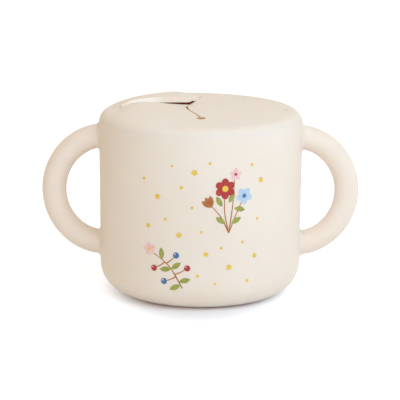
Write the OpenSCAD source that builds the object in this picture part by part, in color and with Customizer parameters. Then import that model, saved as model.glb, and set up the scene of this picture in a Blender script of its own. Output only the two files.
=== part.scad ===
// Toddler snack container: a soft cup with two ring grips and a soft lid cut with a cross.
// Millimetres. The origin is the middle of the base, +Z is up, the front faces -Y, the grips lie along X.

/* [Cup] */
// Outer diameter of the closed container at its widest, where the lid's rounded edge begins
cup_d = 88; // [80:0.5:98]
// Height of the closed container, from its base to the middle of the lid
closed_h = 81.2; // [76:0.1:92]
// Height of the lid above the seam where it meets the cup's rim, at the middle of the lid
lid_h = 5.2; // [4.6:0.1:6.4]
// How much the wall draws in, in radius, from the top to the base corner
wall_taper = 0.55; // [0:0.05:1.5]
// Radius of the rounded corner round the base
base_corner = 12.4; // [8:0.1:16]
// Thickness of the wall at the rim
wall_t = 3.4; // [2.8:0.1:4.4]
// Thickness of the floor
floor_t = 4; // [3:0.1:6]

/* [Grips] */
// Distance from the cup's axis to the outermost point of a grip
grip_reach = 68.8; // [64:0.1:80]
// Radius of the ring, measured to the middle of its tube
grip_ring_r = 23.9; // [20:0.1:26]
// Diameter of the tube
grip_d = 10.5; // [8:0.1:13]
// How far the ring's centre lies below the seam
grip_drop = 32; // [29:0.1:35]
// How much wider than the tube, in radius, a grip's root is where it leaves the wall
root_flare = 1.2; // [0.8:0.1:2]
// Length of the tapered root outside the wall
root_len = 3; // [2:0.1:4]

/* [Lid] */
// Rise of the lid's top from its rounded edge to its middle
dome_rise = 2; // [1.2:0.1:3]
// Radius of the lid's rounded edge
lid_corner = 5; // [4:0.1:6]
// Thickness of the lid's top
top_t = 2.4; // [1.8:0.1:2.6]
// How far the plug ring reaches down inside the cup, below the seam
plug_h = 7; // [5:0.1:10]
// Thickness of the plug ring
plug_t = 1.5; // [1.1:0.1:1.5]
// Radius of the plug ring's round sealing ribs
rib_r = 0.4; // [0.3:0.05:0.6]
// Number of sealing ribs
rib_count = 2; // [1:1:3]
// Height of one rib above the next
rib_step = 2.4; // [1.6:0.1:3]
// Clearance between the ribs and the cup's wall
rib_gap = 0.1; // [0.05:0.05:0.3]
// Clearance between the lid's rim and the cup's rim
seam_gap = 0.1; // [0.05:0.05:0.3]

/* [Cut] */
// Distance from the axis to the left end of the cut
cut_left = 35; // [30:0.1:36]
// Distance from the axis to the right end of the cut
cut_right = 37; // [30:0.1:37]
// Distance from the axis to the front end of the cut
cut_front = 24.5; // [20:0.1:30]
// Distance from the axis to the back end of the cut
cut_back = 24.5; // [20:0.1:30]
// Distance that the crossing point lies to the left of the axis
cross_left = 5; // [0:0.1:8]
// Distance that the crossing point lies behind the axis
cross_back = 1.6; // [0:0.1:5]
// Width of the cuts between the flaps
kerf = 0.6; // [0.5:0.05:0.8]
// Radius of the small round holes that end the cuts
end_hole_r = 1.25; // [1:0.05:1.25]

/* [Flaps] */
// Angle through which a hand pushes a flap down
push_angle = 65; // [45:1:70]
// Angle through which a flap bends up when the hand comes out
pull_angle = 30; // [20:1:35]
// Angle at which the back left flap stands open
open_angle = 13.5; // [4:0.5:16]
// Depth of the bending line below the lid's top at the ends of the cuts
bend_depth = 0.6; // [0.4:0.05:0.8]
// Clearance along the bending line
bend_gap = 0.15; // [0.1:0.05:0.3]

/* [Hidden] */
$fn = 120;
fine = 720;
silicone = [0.93, 0.90, 0.85];
lid_silicone = [0.95, 0.92, 0.88];
big = 200;

cup_r = cup_d / 2;
inner_r = cup_r - wall_t;
base_r = cup_r - wall_taper;
inner_corner = base_corner - wall_t;
seam_z = closed_h - lid_h;

// The lid's top is one large arc that runs into the rounded edge.
edge_r = cup_r - lid_corner;
dome_r = (edge_r * edge_r + dome_rise * dome_rise) / (2 * dome_rise);
dome_z = closed_h - dome_r;
edge_z = dome_z + sqrt(pow(dome_r - lid_corner, 2) - edge_r * edge_r);
join_angle = asin(edge_r / (dome_r - lid_corner));
join_r = dome_r * sin(join_angle);
join_z = dome_z + dome_r * cos(join_angle);

// The plug ring's ribs almost touch the cup's wall.
plug_out_r = inner_r - rib_gap - rib_r;
plug_in_r = plug_out_r - plug_t;
plug_z = seam_z - plug_h;

// The ring of a grip is buried in the wall on its inner side.
grip_r = grip_d / 2;
grip_x = grip_reach - grip_r - grip_ring_r;
grip_z = seam_z - grip_drop;
// A root is centred on the ring halfway along its taper.
root_rise = grip_ring_r * cos(asin((cup_r + root_len / 2 - grip_x) / grip_ring_r));
// Over the width of a root the round, tapered wall falls back, and the root starts this much behind that.
root_cover = 0.8;
root_sink = cup_r - sqrt(cup_r * cup_r - pow(grip_r + root_flare, 2)) + root_cover;
// Its thin end lies this much inside the tube.
root_tuck = 0.5;

// Ends of the cuts and their crossing point, seen from above.
right_end = [cut_right, 0];
back_end = [0, cut_back];
left_end = [-cut_left, 0];
front_end = [0, -cut_front];
cut_ends = [right_end, back_end, left_end, front_end];
crossing = [-cross_left, cross_back];
// Room left beyond each bending limit, in degrees
bend_room = 1.5;

// Radius of the tapered wall at height z.
function wall_r(z) = base_r + wall_taper * (z - base_corner) / (edge_z - base_corner);
// Height of the lid's top over a point of the plan.
function top_z(p) = dome_z + sqrt(dome_r * dome_r - p * p);
function bend_point(p) = [p.x, p.y, top_z(p) - bend_depth];
function turn(a, b) = atan2(b.y - a.y, b.x - a.x);
function climb(a, b) = asin((top_z(b) - top_z(a)) / norm(bend_point(b) - bend_point(a)));
// Corner of the lid's opening: the cut's end p moved out so that both edges clear their bending lines.
function outward(a, b) = [b.y - a.y, a.x - b.x] / norm(b - a);
function opening_corner(before, p, after) =
    let (m = outward(before, p), n = outward(p, after)) p + bend_gap * (m + n) / (1 + m * n);

// Half outline of the closed container: flat base, round base corner, wall, round lid edge, domed top.
module half_outline() {
    polygon([
        [0, 0], [base_r - base_corner, 0], [base_r - base_corner, base_corner],
        [base_r, base_corner], [cup_r, edge_z], [edge_r, edge_z], [join_r, join_z], [0, join_z]
    ]);
    translate([base_r - base_corner, base_corner]) circle(base_corner, $fn = fine);
    translate([edge_r, edge_z]) circle(lid_corner, $fn = fine);
    intersection() {
        translate([0, dome_z]) circle(dome_r, $fn = 6 * fine);
        translate([0, edge_z]) square([join_r, big]);
    }
}

// Half section of the space inside the cup.
module half_inside() {
    translate([0, floor_t + inner_corner]) square([inner_r, big]);
    translate([0, floor_t]) square([inner_r - inner_corner, big]);
    translate([inner_r - inner_corner, floor_t + inner_corner]) circle(inner_corner, $fn = fine);
}

module cup() {
    color(silicone) rotate_extrude() difference() {
        intersection() {
            half_outline();
            square([big, seam_z]);
        }
        half_inside();
    }
}

// Tapered root of a grip, standing on the plane z = 0.
module tube_root() {
    cylinder(h = root_sink + root_len, r1 = grip_r + root_flare, r2 = grip_r - root_tuck);
}

// Grip on the right when side is 1, on the left when side is -1.
module grip(side) {
    color(silicone) difference() {
        union() {
            translate([side * grip_x, 0, grip_z]) rotate([90, 0, 0])
                rotate_extrude() translate([grip_ring_r, 0]) circle(grip_r);
            for (way = [-1, 1])
                let (z = grip_z + way * root_rise)
                    translate([side * (wall_r(z) - root_sink), 0, z]) rotate([0, side * 90, 0]) tube_root();
        }
        rotate_extrude() half_outline();
    }
}

module left_grip() { grip(-1); }
module right_grip() { grip(1); }

// Half section of the lid's thin top, as far out as the plug ring.
module half_top() {
    intersection() {
        difference() {
            translate([0, dome_z]) circle(dome_r, $fn = 6 * fine);
            translate([0, dome_z]) circle(dome_r - top_t, $fn = 6 * fine);
        }
        translate([0, plug_z]) square([plug_in_r, big]);
    }
}

// Half section of the whole lid before it is cut.
module half_lid() {
    difference() {
        intersection() {
            half_outline();
            translate([0, seam_z + seam_gap]) square(big);
        }
        translate([0, seam_z]) square([plug_in_r, big]);
    }
    half_top();
    translate([plug_in_r, plug_z + plug_t / 2]) square([plug_t, plug_h + seam_gap]);
    translate([plug_in_r + plug_t / 2, plug_z + plug_t / 2]) circle(plug_t / 2);
    for (i = [0 : rib_count - 1])
        translate([plug_out_r, plug_z + plug_t + rib_r + i * rib_step]) circle(rib_r);
}

module end_holes() {
    for (end = cut_ends)
        translate([end.x, end.y, seam_z]) cylinder(r = end_hole_r, h = big);
}

// Narrow slots along the four arms of the cross.
module cuts() {
    for (end = cut_ends)
        translate([crossing.x, crossing.y, seam_z]) rotate(turn(crossing, end))
            translate([-kerf / 2, -kerf / 2, 0]) cube([norm(end - crossing), kerf, big]);
}

// Lid without its four flaps.
module lid() {
    color(lid_silicone) difference() {
        rotate_extrude() half_lid();
        translate([0, 0, seam_z]) linear_extrude(big)
            polygon([for (i = [0 : 3]) opening_corner(cut_ends[(i + 3) % 4], cut_ends[i], cut_ends[(i + 1) % 4])]);
        end_holes();
    }
}

// Wedge that a flap keeps of the lid's top: its tapered root lets it bend both ways about the line from a to b.
module bending_wedge(a, b) {
    translate(bend_point(a)) rotate([0, -climb(a, b), turn(a, b)]) rotate([90, 0, 90])
        linear_extrude(norm(b - a))
            polygon([
                [0, 0],
                [top_t * tan(pull_angle + bend_room), top_t], [big, top_t],
                [big, -top_t], [top_t * tan(push_angle + bend_room), -top_t]
            ]);
}

// Flap that bends about the line from cut end a to cut end b, turned up by lift.
module flap(a, b, lift) {
    color(lid_silicone)
        translate(bend_point(a)) rotate([0, -climb(a, b), turn(a, b)]) rotate([lift, 0, 0])
            rotate([0, climb(a, b), 0]) rotate(-turn(a, b)) translate(-bend_point(a))
                difference() {
                    intersection() {
                        rotate_extrude() half_top();
                        translate([0, 0, seam_z]) linear_extrude(big) polygon([a, b, crossing]);
                        bending_wedge(a, b);
                    }
                    cuts();
                    end_holes();
                }
}

module front_left_flap() { flap(left_end, front_end, 0); }
module front_right_flap() { flap(front_end, right_end, 0); }
module back_left_flap() { flap(back_end, left_end, open_angle); }
module back_right_flap() { flap(right_end, back_end, 0); }

cup();
left_grip();
right_grip();
lid();
front_left_flap();
front_right_flap();
back_left_flap();
back_right_flap();
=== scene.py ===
import math

import bmesh
import bpy
from mathutils import Matrix, Quaternion, Vector
from mathutils.geometry import interpolate_bezier


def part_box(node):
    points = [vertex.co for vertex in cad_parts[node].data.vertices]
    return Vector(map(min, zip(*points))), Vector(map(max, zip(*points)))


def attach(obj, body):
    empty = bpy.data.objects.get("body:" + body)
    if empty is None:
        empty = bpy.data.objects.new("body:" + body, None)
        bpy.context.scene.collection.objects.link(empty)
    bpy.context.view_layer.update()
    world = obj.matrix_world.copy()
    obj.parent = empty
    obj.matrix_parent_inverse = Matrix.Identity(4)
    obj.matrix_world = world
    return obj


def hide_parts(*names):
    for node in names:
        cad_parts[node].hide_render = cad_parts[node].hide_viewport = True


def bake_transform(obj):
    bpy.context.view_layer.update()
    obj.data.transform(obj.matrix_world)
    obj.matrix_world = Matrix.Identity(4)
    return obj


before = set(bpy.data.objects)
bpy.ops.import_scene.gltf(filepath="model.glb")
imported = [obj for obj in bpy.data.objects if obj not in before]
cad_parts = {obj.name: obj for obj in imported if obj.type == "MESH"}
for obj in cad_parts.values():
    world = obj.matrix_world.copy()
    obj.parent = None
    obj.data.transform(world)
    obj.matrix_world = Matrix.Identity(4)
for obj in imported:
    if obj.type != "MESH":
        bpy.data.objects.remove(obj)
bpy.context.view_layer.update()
mm = 0.001

# Cup
# A thick-walled tub of food-grade silicone, compression moulded in one piece with its two grips.
# Its base corner is rounded generously, its wall opens out very slightly towards the top, and its
# rim ends square, because the lid carries on the rounded shape above it.
cup_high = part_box("cup")[1]
cup_r = cup_high.x
seam_z = cup_high.z
wall_taper = 0.55 * mm
wall_t = 3.4 * mm
floor_t = 4 * mm
base_corner = 12.4 * mm
inner_corner = base_corner - wall_t
rim_edge = 0.4 * mm
closed_h = 81.2 * mm
lid_corner = 5 * mm
dome_rise = 2 * mm
# The seam between cup and lid hardly shows: each of them stops only this far from it.
hairline = 0.015 * mm
turn_steps = 160

base_r = cup_r - wall_taper
inner_r = cup_r - wall_t
edge_r = cup_r - lid_corner
dome_r = (edge_r ** 2 + dome_rise ** 2) / (2 * dome_rise)
dome_z = closed_h - dome_r
edge_z = dome_z + math.sqrt((dome_r - lid_corner) ** 2 - edge_r ** 2)


def linear(hex_colour):
    """An sRGB hex colour as the linear RGBA that a shader socket takes."""
    parts = [int(hex_colour[i:i + 2], 16) / 255 for i in (1, 3, 5)]
    return [c / 12.92 if c <= 0.04045 else ((c + 0.055) / 1.055) ** 2.4 for c in parts] + [1.0]


def add_node(tree, kind, inputs=(), **settings):
    """Adds a shader node with its settings. inputs gives each socket a value, or the output that
    feeds it."""
    node = tree.nodes.new("ShaderNode" + kind)
    for name, value in settings.items():
        setattr(node, name, value)
    for name, value in dict(inputs).items():
        if isinstance(value, bpy.types.NodeSocket):
            tree.links.new(value, node.inputs[name])
        else:
            node.inputs[name].default_value = value
    return node


def silicone(name, pale, deep):
    """Silicone rubber from a blasted steel mould: matt, faintly cloudy, with a very fine grain. Light
    goes a few millimetres into it, more red than blue, which warms its shaded side. The attribute
    whole is 0 where two pieces of one moulding meet, because light would stop at that border. A faint
    red glow is painted all over it, standing in for light that comes through from the far side; it makes
    the dark inside of the cup a deep red-brown. Knife-cut faces get painted shade, a yellow-tan, where
    they lie close together in slits and holes, and a painted highlight where they lie open to the light."""
    softness = 0.15
    light_depth = 9 * mm
    light_spread = (1.0, 0.35, 0.12)
    # Painted glow: a faint, constant red-orange emission that stands in for light coming through the
    # silicone.
    through = (1.0, 0.17, 0.05, 1.0)
    painted_glow_strength = 0.02
    # Painted shade: the yellow-tan painted on knife-cut faces in the front slit and in the holes, where
    # shade falls.
    painted_slit_shade_colour = "#E2CA9C"
    # Painted highlight: the pale colour painted on the open flap's cut face, where it lies in the light.
    painted_highlight_colour = "#F9F2E5"
    cloud_size = 26 * mm
    swell_size = 9 * mm
    swell_height = 0.03 * mm
    # The real grain is about 0.05 mm; it is drawn coarser so that it still breaks up the light here.
    grain_size = 0.5 * mm
    grain_height = 0.008 * mm
    material = bpy.data.materials.new(name)
    material.use_nodes = True
    tree = material.node_tree
    tree.nodes.clear()
    place = add_node(tree, "TexCoord").outputs["Object"]
    cloud = add_node(tree, "TexNoise", {"Vector": place, "Scale": 1 / cloud_size, "Detail": 2.0})
    swell = add_node(tree, "TexNoise", {"Vector": place, "Scale": 1 / swell_size, "Detail": 1.0})
    grain = add_node(tree, "TexNoise", {"Vector": place, "Scale": 1 / grain_size, "Detail": 2.0})
    patch = add_node(tree, "MapRange", {"Value": cloud.outputs["Fac"], "From Min": 0.3, "From Max": 0.7})
    colour = add_node(
        tree, "Mix", {0: patch.outputs["Result"], 6: linear(pale), 7: linear(deep)}, data_type="RGBA")
    # The painted shade in the slits and holes is mixed into the base colour here.
    painted_slit_shade = add_node(tree, "Attribute", attribute_name="painted_slit_shade")
    with_painted_shade = add_node(tree, "Mix", {
        0: painted_slit_shade.outputs["Fac"], 6: colour.outputs[2], 7: linear(painted_slit_shade_colour)}, data_type="RGBA")
    # The painted highlight on the open flap's cut face is mixed into the base colour here.
    painted_highlight = add_node(tree, "Attribute", attribute_name="painted_highlight")
    with_painted_highlight = add_node(tree, "Mix", {
        0: painted_highlight.outputs["Fac"], 6: with_painted_shade.outputs[2], 7: linear(painted_highlight_colour)}, data_type="RGBA")
    rough = add_node(tree, "MapRange", {
        "Value": grain.outputs["Fac"], "From Min": 0.3, "From Max": 0.7, "To Min": 0.5, "To Max": 0.62})
    waves = add_node(tree, "Bump", {"Height": swell.outputs["Fac"], "Distance": swell_height})
    pores = add_node(tree, "Bump", {
        "Height": grain.outputs["Fac"], "Distance": grain_height, "Normal": waves.outputs["Normal"]})
    whole = add_node(tree, "Attribute", attribute_name="whole")
    depth = add_node(tree, "Math", {0: whole.outputs["Fac"], 1: softness}, operation="MULTIPLY")
    surface = add_node(tree, "BsdfPrincipled", {
        "Base Color": with_painted_highlight.outputs[2], "Roughness": rough.outputs["Result"], "IOR": 1.41,
        "Subsurface Weight": depth.outputs[0], "Subsurface Radius": light_spread,
        "Subsurface Scale": light_depth, "Emission Color": through,
        "Emission Strength": painted_glow_strength, "Normal": pores.outputs["Normal"]})
    add_node(tree, "OutputMaterial", {"Surface": surface.outputs["BSDF"]})
    return material


def arc(middle, radius, start, end, steps):
    """Points along an arc in a half section, from angle start to angle end in degrees."""
    turns = [math.radians(start + (end - start) * i / steps) for i in range(steps + 1)]
    return [(middle[0] + radius * math.cos(a), middle[1] + radius * math.sin(a)) for a in turns]


def spin_outline(outline, closed):
    """Turns a half section, given as points of radius and height, once round the axis."""
    bm = bmesh.new()
    line = [bm.verts.new((x, 0, z)) for x, z in outline]
    pairs = list(zip(line, line[1:]))
    if closed:
        pairs.append((line[-1], line[0]))
    edges = [bm.edges.new(pair) for pair in pairs]
    bmesh.ops.spin(bm, geom=line + edges, cent=(0, 0, 0), axis=(0, 0, 1), dvec=(0, 0, 0),
                   angle=2 * math.pi, steps=turn_steps, use_merge=True)
    bmesh.ops.remove_doubles(bm, verts=bm.verts, dist=0.001 * mm)
    return bm


def make_piece(bm, name, material, whole=lambda p: 1.0):
    """Makes a closed mesh into a piece, smooth all over but for its real edges."""
    sharpest_smooth = math.radians(38)
    bmesh.ops.recalc_face_normals(bm, faces=bm.faces)
    for face in bm.faces:
        face.smooth = True
    for edge in bm.edges:
        if len(edge.link_faces) == 2:
            edge.smooth = edge.calc_face_angle() < sharpest_smooth
    mesh = bpy.data.meshes.new(name)
    bm.to_mesh(mesh)
    bm.free()
    mesh.materials.append(material)
    attribute = mesh.attributes.new("whole", "FLOAT", "POINT")
    for v, value in zip(mesh.vertices, attribute.data):
        value.value = whole(v.co)
    piece = bpy.data.objects.new(name, mesh)
    bpy.context.scene.collection.objects.link(piece)
    return piece


cup_silicone = silicone("moulded cream silicone", "#ECE2D2", "#E9DECC")
seam_angle = math.degrees(math.asin((seam_z - edge_z) / lid_corner))
seam_r = edge_r + lid_corner * math.cos(math.radians(seam_angle))
outside = [(0, 0)]
outside += arc((base_r - base_corner, base_corner), base_corner, -90, 0, 18)
outside += arc((edge_r, edge_z), lid_corner, 0, seam_angle, 5)
rim = [(seam_r - hairline, seam_z - hairline)]
rim += arc((inner_r + rim_edge, seam_z - hairline - rim_edge), rim_edge, 90, 180, 4)
inside = arc((inner_r - inner_corner, floor_t + inner_corner), inner_corner, 0, -90, 14) + [(0, floor_t)]
cup = make_piece(spin_outline(outside + rim + inside, False), "cup_moulding", cup_silicone)
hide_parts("cup")
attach(cup, "cup")

# Grips
# Two ring handles of the cup's own silicone, moulded on with it, solid and round, and a little taller
# than they are wide. Each runs into the wall at both ends over a small fillet.
grip_r = 5.25 * mm
grip_x = 40.5 * mm
grip_z = 44 * mm
ring_wide = 23.05 * mm
ring_high = 23.95 * mm
root_fillet = 1.6 * mm
root_steps = 6
# The plain tube of the ring starts this far outside the wall, where the fillet has run out.
ring_start = 1.6 * root_fillet
ring_steps = 56
tube_segments = 48
# The roots start sunk into the wall, and lean with it up to lean_reach outside.
lean_reach = 5 * mm
sunk = 0.8 * mm


def clip(value):
    """Keeps a value between 0 and 1."""
    return max(0, min(1, value))


def wall_r(z):
    """Radius of the outer wall at height z."""
    return base_r + wall_taper * (z - base_corner) / (edge_z - base_corner)


def ring_rise(x):
    """Height of a ring's middle line over its centre, at distance x from the cup's axis."""
    return ring_high * math.sqrt(1 - ((x - grip_x) / ring_wide) ** 2)


def stand(middle, across, up, radius):
    """Matrix that sets a unit circle at middle, spanned by the directions across and up."""
    facing = Matrix((across, up, across.cross(up))).transposed().to_4x4()
    return Matrix.Translation(middle) @ facing @ Matrix.Scale(radius, 4)


def root_stations(way):
    """Circles from inside the wall out along the fillet, at the upper root for way 1, the lower for -1."""
    half_turn = [math.pi / 2 * i / root_steps for i in range(root_steps, -1, -1)]
    out = [(-sunk, root_fillet)]
    out += [(root_fillet * (1 - math.sin(a)), root_fillet * (1 - math.cos(a))) for a in half_turn]
    stations = []
    for gap, growth in out:
        x = cup_r + gap
        middle = Vector((x, 0, grip_z + way * ring_rise(x)))
        stations.append(stand(middle, Vector((0, 1, 0)), Vector((0, 0, 1)), grip_r + growth))
    return stations


def ring_stations():
    """Circles along the ring, from just past the upper root round to just before the lower one."""
    first = math.acos((cup_r + ring_start - grip_x) / ring_wide)
    stations = []
    for i in range(ring_steps + 1):
        turn = first * (1 - 2 * i / ring_steps)
        middle = Vector((grip_x + ring_wide * math.cos(turn), 0, grip_z + ring_high * math.sin(turn)))
        outwards = Vector((ring_high * math.cos(turn), 0, ring_wide * math.sin(turn))).normalized()
        stations.append(stand(middle, Vector((0, 1, 0)), outwards, grip_r))
    return stations


def grip(side):
    """A ring grip on the right when side is 1, on the left when side is -1."""
    stations = root_stations(1) + ring_stations() + root_stations(-1)[::-1]
    # The lower circles are turned over so that every circle keeps its start on the ring's outside.
    last = len(stations) - 1 - root_steps - 1
    stations = [s @ Matrix.Scale(-1, 4, (0, 1, 0)) if i >= last else s for i, s in enumerate(stations)]
    bm = bmesh.new()
    bmesh.ops.create_circle(bm, cap_ends=False, radius=1, segments=tube_segments, matrix=stations[0])
    front = bm.edges[:]
    for before, after in zip(stations, stations[1:]):
        grown = bmesh.ops.extrude_edge_only(bm, edges=front)["geom"]
        verts = [v for v in grown if isinstance(v, bmesh.types.BMVert)]
        bmesh.ops.transform(bm, matrix=after @ before.inverted(), verts=verts)
        front = [e for e in grown if isinstance(e, bmesh.types.BMEdge) and all(v in verts for v in e.verts)]
    bmesh.ops.holes_fill(bm, edges=[e for e in bm.edges if e.is_boundary])
    # The roots lean back over the round, tapered wall.
    for v in bm.verts:
        share = clip(1 - (v.co.x - cup_r) / lean_reach)
        wall = math.sqrt(wall_r(v.co.z) ** 2 - v.co.y ** 2)
        v.co.x = side * (v.co.x - (cup_r - wall) * share)
    return bm


for side, word in ((-1, "left"), (1, "right")):
    piece = make_piece(grip(side), word + "_grip_moulding", cup_silicone)
    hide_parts(word + "_grip")
    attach(piece, "cup")

# Print
# A pattern printed on the cup's front in soft silicone ink: a posy of flowers, a sprig with berries and
# a scatter of gold dots and small blossoms. Each colour is one thin layer, cured on to the moulding.
ink_t = 0.03 * mm
ink_sunk = 0.03 * mm
layer_step = 0.02 * mm
outline_steps = 20
stem_steps = 14
stem_width = 0.55 * mm
stem_taper = 0.35
# Motifs are set out in millimetres: along the wall from the middle of the front, and up from the base.
leaf_length = 5.2


def ink(name, pale, deep):
    """Screen-printed silicone ink, laid down a little unevenly, so its colour drifts over a few tenths
    of a millimetre."""
    blotch_size = 1.6 * mm
    speck_size = 0.25 * mm
    speck_height = 0.004 * mm
    material = bpy.data.materials.new(name)
    material.use_nodes = True
    tree = material.node_tree
    tree.nodes.clear()
    place = add_node(tree, "TexCoord").outputs["Object"]
    blotch = add_node(tree, "TexNoise", {"Vector": place, "Scale": 1 / blotch_size, "Detail": 3.0})
    speck = add_node(tree, "TexNoise", {"Vector": place, "Scale": 1 / speck_size, "Detail": 1.0})
    patch = add_node(tree, "MapRange", {"Value": blotch.outputs["Fac"], "From Min": 0.35, "From Max": 0.65})
    colour = add_node(
        tree, "Mix", {0: patch.outputs["Result"], 6: linear(pale), 7: linear(deep)}, data_type="RGBA")
    bumps = add_node(tree, "Bump", {"Height": speck.outputs["Fac"], "Distance": speck_height})
    surface = add_node(tree, "BsdfPrincipled", {
        "Base Color": colour.outputs[2], "Roughness": 0.55, "IOR": 1.41, "Normal": bumps.outputs["Normal"]})
    add_node(tree, "OutputMaterial", {"Surface": surface.outputs["BSDF"]})
    return material


def press(bm, flat, place, layer):
    """Makes a flat patch, whose vertices are given, into a thin closed one on the cup's wall. place
    turns each flat point into a distance round the wall from the front and a height."""
    faces = list({face for v in flat for face in v.link_faces})
    grown = bmesh.ops.extrude_face_region(bm, geom=faces, use_keep_orig=True)["geom"]
    top = [v for v in grown if isinstance(v, bmesh.types.BMVert)]
    for verts, out in ((flat, -ink_sunk), (top, ink_t + layer * layer_step)):
        for v in verts:
            round_wall, height = place(v.co.x, v.co.y)
            turn = round_wall / cup_r
            r = wall_r(height) + out
            v.co = (r * math.sin(turn), -r * math.cos(turn), height)


def petal(bm, middle, length, width, turn, layer, pointed=False):
    """An oval, or a leaf shape if pointed. Sizes are in millimetres and the turn in degrees."""
    made = bmesh.ops.create_circle(bm, cap_ends=True, cap_tris=True, radius=0.5, segments=outline_steps)
    cos_turn, sin_turn = math.cos(math.radians(turn)), math.sin(math.radians(turn))

    def place(x, y):
        along = x * length
        across = y * width * (math.sqrt(max(0, 1 - 4 * x * x)) if pointed else 1)
        return ((middle[0] + along * cos_turn - across * sin_turn) * mm,
                (middle[1] + along * sin_turn + across * cos_turn) * mm)

    press(bm, made["verts"], place, layer)


def blossom(bm, middle, count, reach, length, width, first, layer):
    """A ring of petals."""
    for i in range(count):
        turn = first + 360 * i / count
        a = math.radians(turn)
        out = (middle[0] + reach * math.cos(a), middle[1] + reach * math.sin(a))
        petal(bm, out, length, width, turn, layer)


def leaf(bm, foot, reach, width, turn, layer):
    """A leaf, or a bud's pointed petal, on its foot. Its middle lies reach away from the foot."""
    a = math.radians(turn)
    middle = (foot[0] + reach * math.cos(a), foot[1] + reach * math.sin(a))
    petal(bm, middle, leaf_length, width, turn, layer, pointed=True)


def stem(bm, start, bend, end, layer=0):
    """A thin curved line that tapers a little towards its end."""
    points = [p.xy for p in interpolate_bezier(
        Vector((*start, 0)), Vector((*bend, 0)), Vector((*bend, 0)), Vector((*end, 0)), stem_steps + 1)]
    made = bmesh.ops.create_grid(bm, x_segments=stem_steps, y_segments=1, size=0.5)

    def place(x, y):
        i = round((x + 0.5) * stem_steps)
        before, after = points[max(0, i - 1)], points[min(stem_steps, i + 1)]
        side = (after - before).orthogonal().normalized()
        p = points[i] * mm + side * y * stem_width * (1 - stem_taper * i / stem_steps)
        return p.x, p.y

    press(bm, made["verts"], place, layer)


inks = {
    "stems": ("brown print ink", "#B9743A", "#A5622E"),
    "leaves": ("olive print ink", "#A4A650", "#8F9641"),
    "red": ("brick red print ink", "#B83C37", "#A4322F"),
    "sky": ("pale blue print ink", "#BED3E0", "#AEC8DA"),
    "blue": ("blue print ink", "#4C7CA8", "#3F6C98"),
    "pink": ("pink print ink", "#F0CCC6", "#EABDB7"),
    "gold": ("gold print ink", "#ECC94F", "#E4BC3E"),
}
printed = {part: bmesh.new() for part in inks}

# The posy: a red flower, a pale blue one, a brown bud and a pink blossom on four stems.
posy_foot = (12.2, 35)
posy_stems = [
    ((10, 44), (10.5, 53)), ((15, 42), (18.5, 49.5)), ((9, 42), (5, 46.5)), ((14, 47), (14.5, 58)),
]
posy_leaves = [
    ((8.6, 40.5), 145), ((15.4, 40.2), 28), ((8, 48.6), 120), ((13.4, 50.2), 62), ((17, 45), -12),
]
for bend, end in posy_stems:
    stem(printed["stems"], posy_foot, bend, end)
for middle, turn in posy_leaves:
    petal(printed["leaves"], middle, 5, 2.3, turn, 1, pointed=True)
red_flower, sky_flower, pink_flower, bud_foot = (10.5, 54), (19, 50.5), (15, 60), (4.7, 46.6)
blossom(printed["red"], red_flower, 6, 2.6, 3.8, 3.2, 90, 2)
petal(printed["gold"], red_flower, 2.6, 2.6, 0, 3)
blossom(printed["sky"], sky_flower, 5, 2.1, 3.2, 2.7, 54, 2)
petal(printed["blue"], sky_flower, 1.9, 1.9, 0, 3)
blossom(printed["pink"], pink_flower, 5, 1.5, 2.3, 1.9, 18, 2)
petal(printed["red"], pink_flower, 1.3, 1.3, 0, 3)
for turn in (97, 125, 153):
    leaf(printed["stems"], bud_foot, 2.1, 2.5, turn, 2)

# The sprig: leaves and red and blue berries on short stalks to both sides, and a pink blossom at its
# tip. Each leaf and stalk starts on the stem, at a point of the steps along it.
sprig_foot, sprig_bow, sprig_tip = (-7.5, 11), (-13, 21), (-21.5, 26)
sprig_steps = 20
sprig_leaves = [(1, 205), (2, 15), (8, 35), (8, 186), (15, 95)]
berries = [
    (4, (-15.6, 13.6), "blue"), (5, (-5.4, 19.8), "red"),
    (12, (-10.2, 25.2), "blue"), (13, (-20.2, 18.9), "red"),
]
stalk_sag = 0.4
stem(printed["stems"], sprig_foot, sprig_bow, sprig_tip)
sprig_line = interpolate_bezier(
    *(Vector((*p, 0)) for p in (sprig_foot, sprig_bow, sprig_bow, sprig_tip)), sprig_steps + 1)
for step, turn in sprig_leaves:
    leaf(printed["leaves"], sprig_line[step], 2.6, 2.3, turn, 1)
for step, berry, colour in berries:
    foot = sprig_line[step]
    bend = ((foot.x + berry[0]) / 2, (foot.y + berry[1]) / 2 - stalk_sag)
    stem(printed["stems"], (foot.x, foot.y), bend, berry)
    petal(printed[colour], berry, 2.7, 2.7, 0, 2)
    petal(printed["pink"], (berry[0] - 0.5, berry[1] + 0.5), 0.7, 0.6, 45, 3)
sprig_flower = (-22.4, 27)
blossom(printed["pink"], sprig_flower, 5, 1.6, 2.5, 2.1, 30, 2)
petal(printed["gold"], sprig_flower, 1.4, 1.4, 0, 3)

# The scatter: plain dots, and small blossoms where the size is over blossom_size.
blossom_size = 1.7
scatter = [
    (-25, 57, 1.3), (-18.5, 50, 2.5), (-12, 63.5, 1.1), (-8, 54.5, 1.4), (-2.5, 61, 2.7), (-15, 40.5, 1.3),
    (-3.5, 46, 1.2), (-23, 37, 2.1), (-9, 34, 2.5), (0.5, 35.5, 1.2), (2.5, 26, 2.2), (9, 28.5, 1.3),
    (-1, 16.5, 1.4), (6.5, 13, 1.1), (12.5, 20, 2.6), (18.5, 30.5, 1.3), (21, 13.5, 1.4), (24.5, 24, 2.2),
    (25.5, 40, 1.2), (27, 56.5, 2.5), (4, 65, 1.3), (22.5, 63.5, 1.4),
]
for x, z, size in scatter:
    if size > blossom_size:
        blossom(printed["gold"], (x, z), 5, 0.3 * size, 0.45 * size, 0.36 * size, 7 * x, 1)
        petal(printed["gold"], (x, z), 0.5 * size, 0.5 * size, 0, 2)
    else:
        petal(printed["gold"], (x, z), size, size, 0, 1)
for part, bm in printed.items():
    piece = make_piece(bm, "printed_" + part, ink(*inks[part]))
    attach(piece, "cup")

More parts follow.
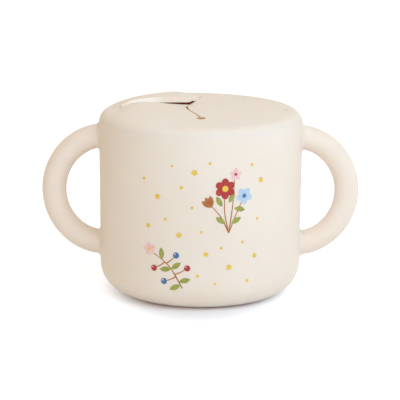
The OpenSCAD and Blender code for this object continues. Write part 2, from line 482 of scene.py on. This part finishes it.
# Lid
# A second silicone moulding: a soft cap whose rim carries on the cup's rounded shape, with a plug ring
# below it that grips the inside of the cup by two round ribs. Its thin top is cut with a cross, and
# each arm of the cross ends in a small round hole that stops the silicone from tearing.
top_t = 2.4 * mm
plug_h = 7 * mm
plug_t = 1.5 * mm
rib_r = 0.4 * mm
rib_gap = 0.1 * mm
rib_rise = (1.9 * mm, 4.3 * mm)
plug_out_r = inner_r - rib_gap - rib_r
plug_in_r = plug_out_r - plug_t
plug_z = seam_z - plug_h
right_end = Vector((37, 0)) * mm
back_end = Vector((0, 24.5)) * mm
left_end = Vector((-35, 0)) * mm
front_end = Vector((0, -24.5)) * mm
# The arms of the cross are counted round from the right one, and each flap has the number of the arm
# before it: the back right flap that of the right arm, and so on.
RIGHT, BACK, LEFT, FRONT = range(4)
cut_ends = [right_end, back_end, left_end, front_end]
# The front hole is drawn open by its gaping cut, and the others are pulled partly shut.
hole_r = [0.9 * mm, 0.7 * mm, 0.12 * mm, 2.1 * mm]
crossing = Vector((-5, 1.6)) * mm
arc_steps = 8
quarter = turn_steps // 4
chord_steps = quarter - 2 * arc_steps
# The half section of the top starts at this radius, before it is drawn out to the edge of the opening.
draft_r = 20 * mm
draft_rows = 8
bend_quiet = 1 * mm
bend_fade = 5 * mm


def angle_of(v):
    return math.atan2(v.y, v.x)


def swing(a, b, share):
    """Unit vector that lies a share of the way from direction a to direction b."""
    sweep = (angle_of(b) - angle_of(a) + math.pi) % (2 * math.pi) - math.pi
    turn = angle_of(a) + share * sweep
    return Vector((math.cos(turn), math.sin(turn)))


def dome(p):
    """Height of the lid's top, as moulded, over a point of the plan."""
    return dome_z + math.sqrt(dome_r ** 2 - p.length_squared)


# The back left flap has stayed open and holds up the silicone round it, most of all along the left
# arm. On the flap and behind it the top stands up by open_height at the crossing, with edge_rise more
# of that along the left arm, and falls off steeply there and gently towards the back. It does so up to
# beyond_left past the left hole, and over back_share of the back arm.
open_height = 3.3 * mm
edge_rise = 0.28
steepest = 7
gentlest = 3.2
beyond_left = 3.3 * mm
back_share = 0.68
# In front of the left arm the top rises from the crossing towards the hole, by a share of front_height,
# and falls off again to front_beyond_left past it. The powers front_rise and front_fall shape that.
front_height = 4.2 * mm
front_beyond_left = 0.5 * mm
front_rise = 1.4
front_fall = 7
# Half the width over which the two sides run into each other at the left hole.
ridge = 0.5 * mm
# Beyond swell_r, and close to the other two arms, the top lies as it was moulded. The edge of what
# lies still runs from an arm's own reach out to swell_r, over arm_share of the turn to the next arm.
swell_r = 42 * mm
arm_share = 0.3
# The lid's back edge bulges up a little behind the open flap.
back_swell = 0.4 * mm
back_swell_place = Vector((-8, 33)) * mm
back_swell_reach = 9 * mm


def ease(value):
    """0 up to 0, 1 from 1 on, and a smooth run between them."""
    share = clip(value)
    return share * share * (3 - 2 * share)


def reach_and_turn(p, first, second, first_reach, second_reach):
    """Where p lies between two arms of the cross: 0 at the crossing to 1 where the top lies still, and
    0 along the first arm to 1 along the second. Along each arm the top lies still from its reach on."""
    arm_a, arm_b, v = first - crossing, second - crossing, p - crossing
    if v.length < 0.001 * mm:
        return 0, 0.5
    sweep = lambda u: (angle_of(u) - angle_of(arm_a) + math.pi) % (2 * math.pi) - math.pi
    turn = sweep(v) / sweep(arm_b)
    u = v.normalized()
    rim = -crossing.dot(u) + math.sqrt(crossing.dot(u) ** 2 + swell_r ** 2 - crossing.length_squared)
    side = first_reach if turn < 0.5 else second_reach
    away = ease(min(turn, 1 - turn) / arm_share)
    return min(1, v.length / (side + (rim - side) * away)), clip(turn)


def back_left_lift(p):
    """How far the back left flap, and the lid round it, stand up over a point of the plan."""
    left_arm, back_arm = (left_end - crossing).length, (back_end - crossing).length
    reach, turn = reach_and_turn(p, left_end, back_end, left_arm + beyond_left, back_share * back_arm)
    power = gentlest + (steepest - gentlest) * (1 - turn) ** 2
    return open_height * (1 + edge_rise * reach * (1 - turn) ** 2) * (1 - reach ** power) ** 2


def front_left_lift(p):
    """How far the front left flap, and the lid round it, stand up over a point of the plan."""
    left_arm, front_arm = (left_end - crossing).length, (front_end - crossing).length
    reach, turn = reach_and_turn(p, left_end, front_end, left_arm + front_beyond_left, front_arm)
    return front_height * reach ** front_rise * (1 - reach ** front_fall) ** 2 * (1 - turn) ** 2


def lift(p, corner=None):
    """How far the silicone stands up over a point of the plan: on the flap after a corner, or on the
    lid, where one side of the left hole runs smoothly over into the other."""
    swell = back_swell * math.exp(-(p - back_swell_place).length_squared / (2 * back_swell_reach ** 2))
    if corner in (RIGHT, FRONT):
        return swell
    if corner == BACK:
        return swell + back_left_lift(p)
    if corner == LEFT:
        return swell + front_left_lift(p)
    across = (crossing - left_end).orthogonal().normalized().dot(p - left_end)
    behind = ease(0.5 + across / (2 * ridge))
    return swell + behind * back_left_lift(p) + (1 - behind) * front_left_lift(p)


def top_height(p, corner=None):
    return dome(p) + lift(p, corner)


def top_point(p, depth, corner=None):
    """Point that lies depth below the lid's top, square to it."""
    step = 0.05 * mm
    dx, dy = Vector((step, 0)), Vector((0, step))
    normal = Vector((
        top_height(p - dx, corner) - top_height(p + dx, corner),
        top_height(p - dy, corner) - top_height(p + dy, corner), 2 * step))
    return Vector((p.x, p.y, top_height(p, corner))) - depth * normal.normalized()


def opening_edge(k):
    """Point k of the lid's opening: straight from hole to hole, and round the outside of each hole."""
    corner, i = divmod(k, quarter)
    a, b = cut_ends[corner], cut_ends[(corner + 1) % 4]
    a_r, b_r = hole_r[corner], hole_r[(corner + 1) % 4]
    along = (b - a).normalized()
    if i < arc_steps:
        return a + a_r * swing(a, along, i / arc_steps)
    if i > arc_steps + chord_steps:
        return b + b_r * swing(-along, b, (i - arc_steps - chord_steps) / arc_steps)
    start, end = a + a_r * along, b - b_r * along
    return start.lerp(end, (i - arc_steps) / chord_steps)


def from_bends(p):
    """0 on the nearest line where the lid and a flap meet, growing smoothly to 1 a few millimetres off."""
    gaps = []
    for a, b in zip(cut_ends, cut_ends[1:] + cut_ends[:1]):
        share = clip((p.xy - a).dot(b - a) / (b - a).length_squared)
        gaps.append((p.xy - a.lerp(b, share)).length)
    return ease((min(gaps) - bend_quiet) / bend_fade)


lid_silicone = silicone("moulded pale silicone", "#ECE2D2", "#E9DECC")
join_angle = math.degrees(math.asin(edge_r / (dome_r - lid_corner)))
under_r = dome_r - top_t
rows = [draft_r + (plug_in_r - draft_r) * i / draft_rows for i in range(draft_rows + 1)]
section = [(r, dome_z + math.sqrt(dome_r ** 2 - r * r)) for r in rows]
section += arc((edge_r, edge_z), lid_corner, 90 - join_angle, seam_angle, 14)
section += [(plug_out_r, seam_z + hairline)]
for rise in sorted(rib_rise, reverse=True):
    section += arc((plug_out_r, plug_z + rise), rib_r, 90, -90, 6)
section += arc((plug_in_r + plug_t / 2, plug_z + plug_t / 2), plug_t / 2, 0, -180, 8)
section += [(r, dome_z + math.sqrt(under_r ** 2 - r * r)) for r in reversed(rows)]
bm = spin_outline(section, True)
for v in bm.verts:
    plan = v.co.xy
    radius = plan.length
    if radius < plug_in_r - 0.01 * mm:
        k = round(angle_of(plan) / (2 * math.pi) * turn_steps) % turn_steps
        depth = 0 if v.co.z > dome(plan) - top_t / 2 else top_t
        outer = plan * (plug_in_r / radius)
        v.co = top_point(opening_edge(k).lerp(outer, (radius - draft_r) / (plug_in_r - draft_r)), depth)
    elif v.co.z > seam_z + 2 * hairline:
        v.co.z += lift(plan)
lid = make_piece(bm, "lid_moulding", lid_silicone, from_bends)
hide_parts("lid")
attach(lid, "lid")

# Flaps
# The four quarters of the cut top, part of the lid's silicone moulding. Each lies between two holes,
# with rows set close over the few millimetres next to the line between them, where it would bend.
bend_zone = 3 * mm
bend_steps = 9
row_step = 0.9 * mm
across_steps = 22
# The edges along the cuts are rounded, with finer steps over a narrow band.
cut_round = 0.12 * mm
band = 0.2 * mm
band_steps = 4
# The cuts are shut, but for the front one. It opens over slit_run from its hole, closes again at
# slit_end of the way to the crossing, and is widest at bulge_share.
slit = 0.04 * mm
slit_open = 0.68 * mm
slit_run = 0.1
slit_end = 0.92
slit_bulge = 0.55 * mm
bulge_share = 0.77
bulge_run = 0.12
# Each flap follows the round of a hole for this share of the way from its bend to the cut.
hole_share = 0.94
# Vertices up to this many radii from a hole's middle belong to its wall.
hole_reach = 1.05
# Between these places, counted to the right from the axis, a highlight is painted on the open flap's cut
# face, where it lies in the light.
painted_highlight_start = -36 * mm
painted_highlight_end = -16 * mm
painted_highlight_fade = 6 * mm
# Each arm's curve is a Bezier from its hole to the crossing; the front arm bows to the left.
arms = [
    (right_end, right_end.lerp(crossing, 1 / 3), right_end.lerp(crossing, 2 / 3)),
    (back_end, Vector((-0.3, 17)) * mm, Vector((-2.6, 8.8)) * mm),
    (left_end, left_end.lerp(crossing, 1 / 3), left_end.lerp(crossing, 2 / 3)),
    (front_end, Vector((-1.7, -15.5)) * mm, Vector((-8.9, -6.5)) * mm),
]
arm_points = 48


def slit_half(corner, share):
    """Half the width of the cut a share of the way from its hole to the crossing. The front cut gapes,
    most of all where it bends most."""
    if corner != FRONT:
        return slit / 2
    gape = clip(min(share, slit_end - share) / slit_run)
    bulge = ease(1 - abs(share - bulge_share) / bulge_run)
    return (slit + slit_open * gape + slit_bulge * bulge) / 2


def flap_edge(corner, far_end):
    """Edge of a flap from its root at one hole, round the hole and along the cut to the crossing."""
    end, first, second = arms[corner]
    points = [p.xy for p in interpolate_bezier(
        end.to_3d(), first.to_3d(), second.to_3d(), crossing.to_3d(), arm_points)]
    chord = (far_end - end).normalized()
    heading = (points[2] - end).normalized()
    radius = hole_r[corner]
    edge = [end + radius * swing(chord, heading, hole_share * i / arc_steps) for i in range(arc_steps + 1)]
    for i in range(1, arm_points):
        if (points[i] - end).length > radius:
            before, after = points[i - 1], points[min(i + 1, arm_points - 1)]
            side = (after - before).orthogonal().normalized()
            if side.dot(far_end - end) < 0:
                side = -side
            edge.append(points[i] + side * slit_half(corner, i / (arm_points - 1)))
    return edge


def at_height(edge, height_of, height):
    """Point of an edge at a given distance from the bending line."""
    for p, q in zip(edge, edge[1:]):
        low, high = height_of(p), height_of(q)
        if high >= height and high > low:
            return p.lerp(q, max(0, (height - low) / (high - low)))
    return edge[-1].copy()


def soft_flap(corner):
    """The flap between two neighbouring holes, as a closed mesh, and the line across its bend."""
    a, b = cut_ends[corner], cut_ends[(corner + 1) % 4]
    inward = (b - a).orthogonal().normalized()
    if inward.dot(crossing - a) < 0:
        inward = -inward
    height_of = lambda p: (p - a).dot(inward)
    edge_a, edge_b = flap_edge(corner, b), flap_edge((corner + 1) % 4, a)
    tip = crossing + (edge_a[-1] - crossing) + (edge_b[-1] - crossing)
    reach = min(height_of(edge_a[-2]), height_of(edge_b[-2]))
    bend_rows = [bend_zone * i / bend_steps for i in range(bend_steps)]
    plain = max(2, round((reach - bend_zone) / row_step))
    heights = bend_rows + [bend_zone + (reach - bend_zone) * i / plain for i in range(plain + 1)]
    lines = [(at_height(edge_a, height_of, h), at_height(edge_b, height_of, h)) for h in heights]
    lines.append((tip, tip))
    heights.append(height_of(tip))
    bm = bmesh.new()
    bmesh.ops.create_grid(bm, x_segments=across_steps, y_segments=len(lines) - 1, size=0.5)
    grown = bmesh.ops.extrude_face_region(bm, geom=bm.faces[:], use_keep_orig=True)["geom"]
    under = [v for v in grown if isinstance(v, bmesh.types.BMVert)]
    # Until both sheets get their places, the lower one lies 1 below the upper one.
    bmesh.ops.translate(bm, vec=(0, 0, -1), verts=under)
    painted_slit_shade = bm.verts.layers.float.new("painted_slit_shade")
    painted_highlight = bm.verts.layers.float.new("painted_highlight")
    for v in bm.verts:
        i, j = round((v.co.x + 0.5) * across_steps), round((v.co.y + 0.5) * (len(lines) - 1))
        start, end = lines[j]
        # A row starts on the cut face of the flap's first arm and ends on that of its second.
        if i in (0, across_steps):
            arm, p = (corner, start) if i == 0 else ((corner + 1) % 4, end)
            in_hole = (p - cut_ends[arm]).length < hole_reach * hole_r[arm]
            # Painted shade on the faces of the front cut and on the walls of the holes.
            v[painted_slit_shade] = 1 if arm == FRONT or in_hole else 0
            # Painted highlight on the back left flap's cut face along the left arm.
            if corner == BACK and arm == LEFT:
                v[painted_highlight] = clip(min(p.x - painted_highlight_start, painted_highlight_end - p.x) / painted_highlight_fade)
        width = (end - start).length
        edge_band = min(band, width / 4)
        near = min(i, across_steps - i)
        if near <= band_steps:
            off = edge_band * near / band_steps
        else:
            inner_share = (near - band_steps) / (across_steps / 2 - band_steps)
            off = edge_band + (width / 2 - edge_band) * inner_share
        share = (off if i <= across_steps / 2 else width - off) / width if width else 0
        inset = max(0, cut_round - off) if width else cut_round
        # The rounding comes in over the first half of the bend.
        fade = min(1, heights[j] / (0.5 * bend_zone))
        rounding = fade * (cut_round - math.sqrt(cut_round ** 2 - inset ** 2))
        depth = rounding if v.co.z > -0.5 else top_t - rounding
        v.co = top_point(start.lerp(end, share), depth, corner)
    bmesh.ops.remove_doubles(bm, verts=bm.verts, dist=0.0005 * mm)
    root = a.lerp(b, 0.5)
    return bm, root.to_3d(), (root + bend_zone * inward).to_3d()


for corner, word in enumerate(("back_right", "back_left", "front_left", "front_right")):
    bm, start, end = soft_flap(corner)
    piece = make_piece(bm, word + "_soft_flap", lid_silicone, from_bends)
    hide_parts(word + "_flap")
    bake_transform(piece)

# Studio
# A white table and white surroundings that light the object warmly from all round, a little less from
# the left. Cooler daylight comes from five lamps: the strongest at the right front, one low and a
# small one near in front, one low at the right and one behind.
floor_size = 6.0
left_surround = (0.633, 0.513, 0.372, 1)
right_surround = (0.71, 0.602, 0.476, 1)
daylight = (0.51, 0.7, 0.98)
# The table is lifted to pure white by a cool glow that only the camera sees, and that glow fades close to
# the object, so the table's real soft shadow shows there; where the glow fades is painted, which makes that
# shadow's size and shape partly painted shadow. The fade lies round a point a little in front of the cup's
# middle, and is longer from front to back than from side to side.
shadow_middle = -10 * mm
shadow_squash = 0.7
near_r, far_r = 22 * mm, 44 * mm
near_glow, far_glow = 0.02, 0.5
table_light = (0.85, 0.97, 1.1, 1.0)
cup_middle = Vector((0, 0, 0.04))
# Each lamp has its place, its width and height in metres, and its power in watts.
lamps = [
    ("right_front_lamp", (0.55, -0.55, 0.818), (0.7, 0.7), 4.2),
    ("low_front_lamp", (0, -1.3, 0.2), (0.7, 0.4), 3.15),
    ("near_front_lamp", (0, -0.24, 0.28), (0.2, 0.2), 0.2),
    ("right_lamp", (1.076, 0, 0.269), (0.7, 0.4), 2.4),
    ("back_lamp", (0, 0.778, 0.818), (0.7, 0.7), 1.1),
]


def seen_directly(tree):
    """1 for what the camera sees directly, in a mirror or through glass, and 0 for light on the object."""
    path = add_node(tree, "LightPath")
    shiny = add_node(tree, "Math", {
        0: path.outputs["Is Glossy Ray"], 1: path.outputs["Is Transmission Ray"]}, operation="MAXIMUM")
    seen = add_node(tree, "Math", {
        0: path.outputs["Is Camera Ray"], 1: shiny.outputs[0]}, operation="MAXIMUM")
    return seen.outputs[0]


white = bpy.data.materials.new("matt white table")
white.use_nodes = True
tree = white.node_tree
tree.nodes.clear()
place = add_node(tree, "TexCoord").outputs["Object"]
moved = add_node(tree, "VectorMath", {0: place, 1: (0, shadow_middle, 0)}, operation="SUBTRACT")
squashed = add_node(tree, "VectorMath", {
    0: moved.outputs[0], 1: (1, shadow_squash, 1)}, operation="MULTIPLY")
away = add_node(tree, "VectorMath", {0: squashed.outputs[0]}, operation="LENGTH")
level = add_node(tree, "MapRange", {
    "Value": away.outputs["Value"], "From Min": near_r, "From Max": far_r,
    "To Min": near_glow, "To Max": far_glow}, interpolation_type="SMOOTHSTEP")
paint = add_node(tree, "BsdfDiffuse", {"Color": linear("#F4F4F4")})
light = add_node(tree, "Math", {0: seen_directly(tree), 1: level.outputs["Result"]}, operation="MULTIPLY")
glow = add_node(tree, "Emission", {"Color": table_light, "Strength": light.outputs[0]})
both = add_node(tree, "AddShader", {0: paint.outputs[0], 1: glow.outputs[0]})
add_node(tree, "OutputMaterial", {"Surface": both.outputs[0]})
bm = bmesh.new()
bmesh.ops.create_grid(bm, x_segments=1, y_segments=1, size=floor_size / 2)
mesh = bpy.data.meshes.new("table")
bm.to_mesh(mesh)
bm.free()
mesh.materials.append(white)
table = bpy.data.objects.new("table", mesh)
bpy.context.scene.collection.objects.link(table)

world = bpy.data.worlds.new("white surroundings")
bpy.context.scene.world = world
world.use_nodes = True
tree = world.node_tree
tree.nodes.clear()
direction = add_node(tree, "SeparateXYZ", {0: add_node(tree, "TexCoord").outputs["Generated"]})
to_right = add_node(tree, "MapRange", {"Value": direction.outputs["X"], "From Min": -1.0, "From Max": 1.0})
surround = add_node(tree, "Mix", {
    0: to_right.outputs["Result"], 6: left_surround, 7: right_surround}, data_type="RGBA")
tone = add_node(tree, "Mix", {
    0: seen_directly(tree), 6: surround.outputs[2], 7: (1, 1, 1, 1)}, data_type="RGBA")
sky = add_node(tree, "Background", {"Color": tone.outputs[2], "Strength": 1.0})
add_node(tree, "OutputWorld", {"Surface": sky.outputs[0]})

for name, place, size, power in lamps:
    lamp = bpy.data.lights.new(name, "AREA")
    lamp.shape = "RECTANGLE"
    lamp.size, lamp.size_y = size
    lamp.energy = power
    lamp.color = daylight
    holder = bpy.data.objects.new(name, lamp)
    holder.location = place
    holder.rotation_mode = "QUATERNION"
    holder.rotation_quaternion = (cup_middle - Vector(place)).to_track_quat("-Z", "Y")
    holder.visible_camera = False
    bpy.context.scene.collection.objects.link(holder)

# Camera
# A long lens one metre away, looking 13 degrees down on the cup's middle, level but for a slight roll.
look_down = 0.23
distance = 1.0
roll = 0.007
# The camera stands one distance from the cup's middle and looks at aim, close beside that middle, which
# sets the cup where it lies in the picture.
aim = Vector((-0.133, 0, 39.173)) * mm
camera_data = bpy.data.cameras.new("camera")
camera_data.lens = 206.53
camera_data.sensor_width = 36
camera = bpy.data.objects.new("camera", camera_data)
camera.location = cup_middle + distance * Vector((0, -math.cos(look_down), math.sin(look_down)))
camera.rotation_mode = "QUATERNION"
camera.rotation_quaternion = (aim - camera.location).to_track_quat("-Z", "Y") @ Quaternion((0, 0, 1), roll)
bpy.context.scene.collection.objects.link(camera)
bpy.context.scene.camera = camera
bpy.context.scene.view_settings.view_transform = "Standard"
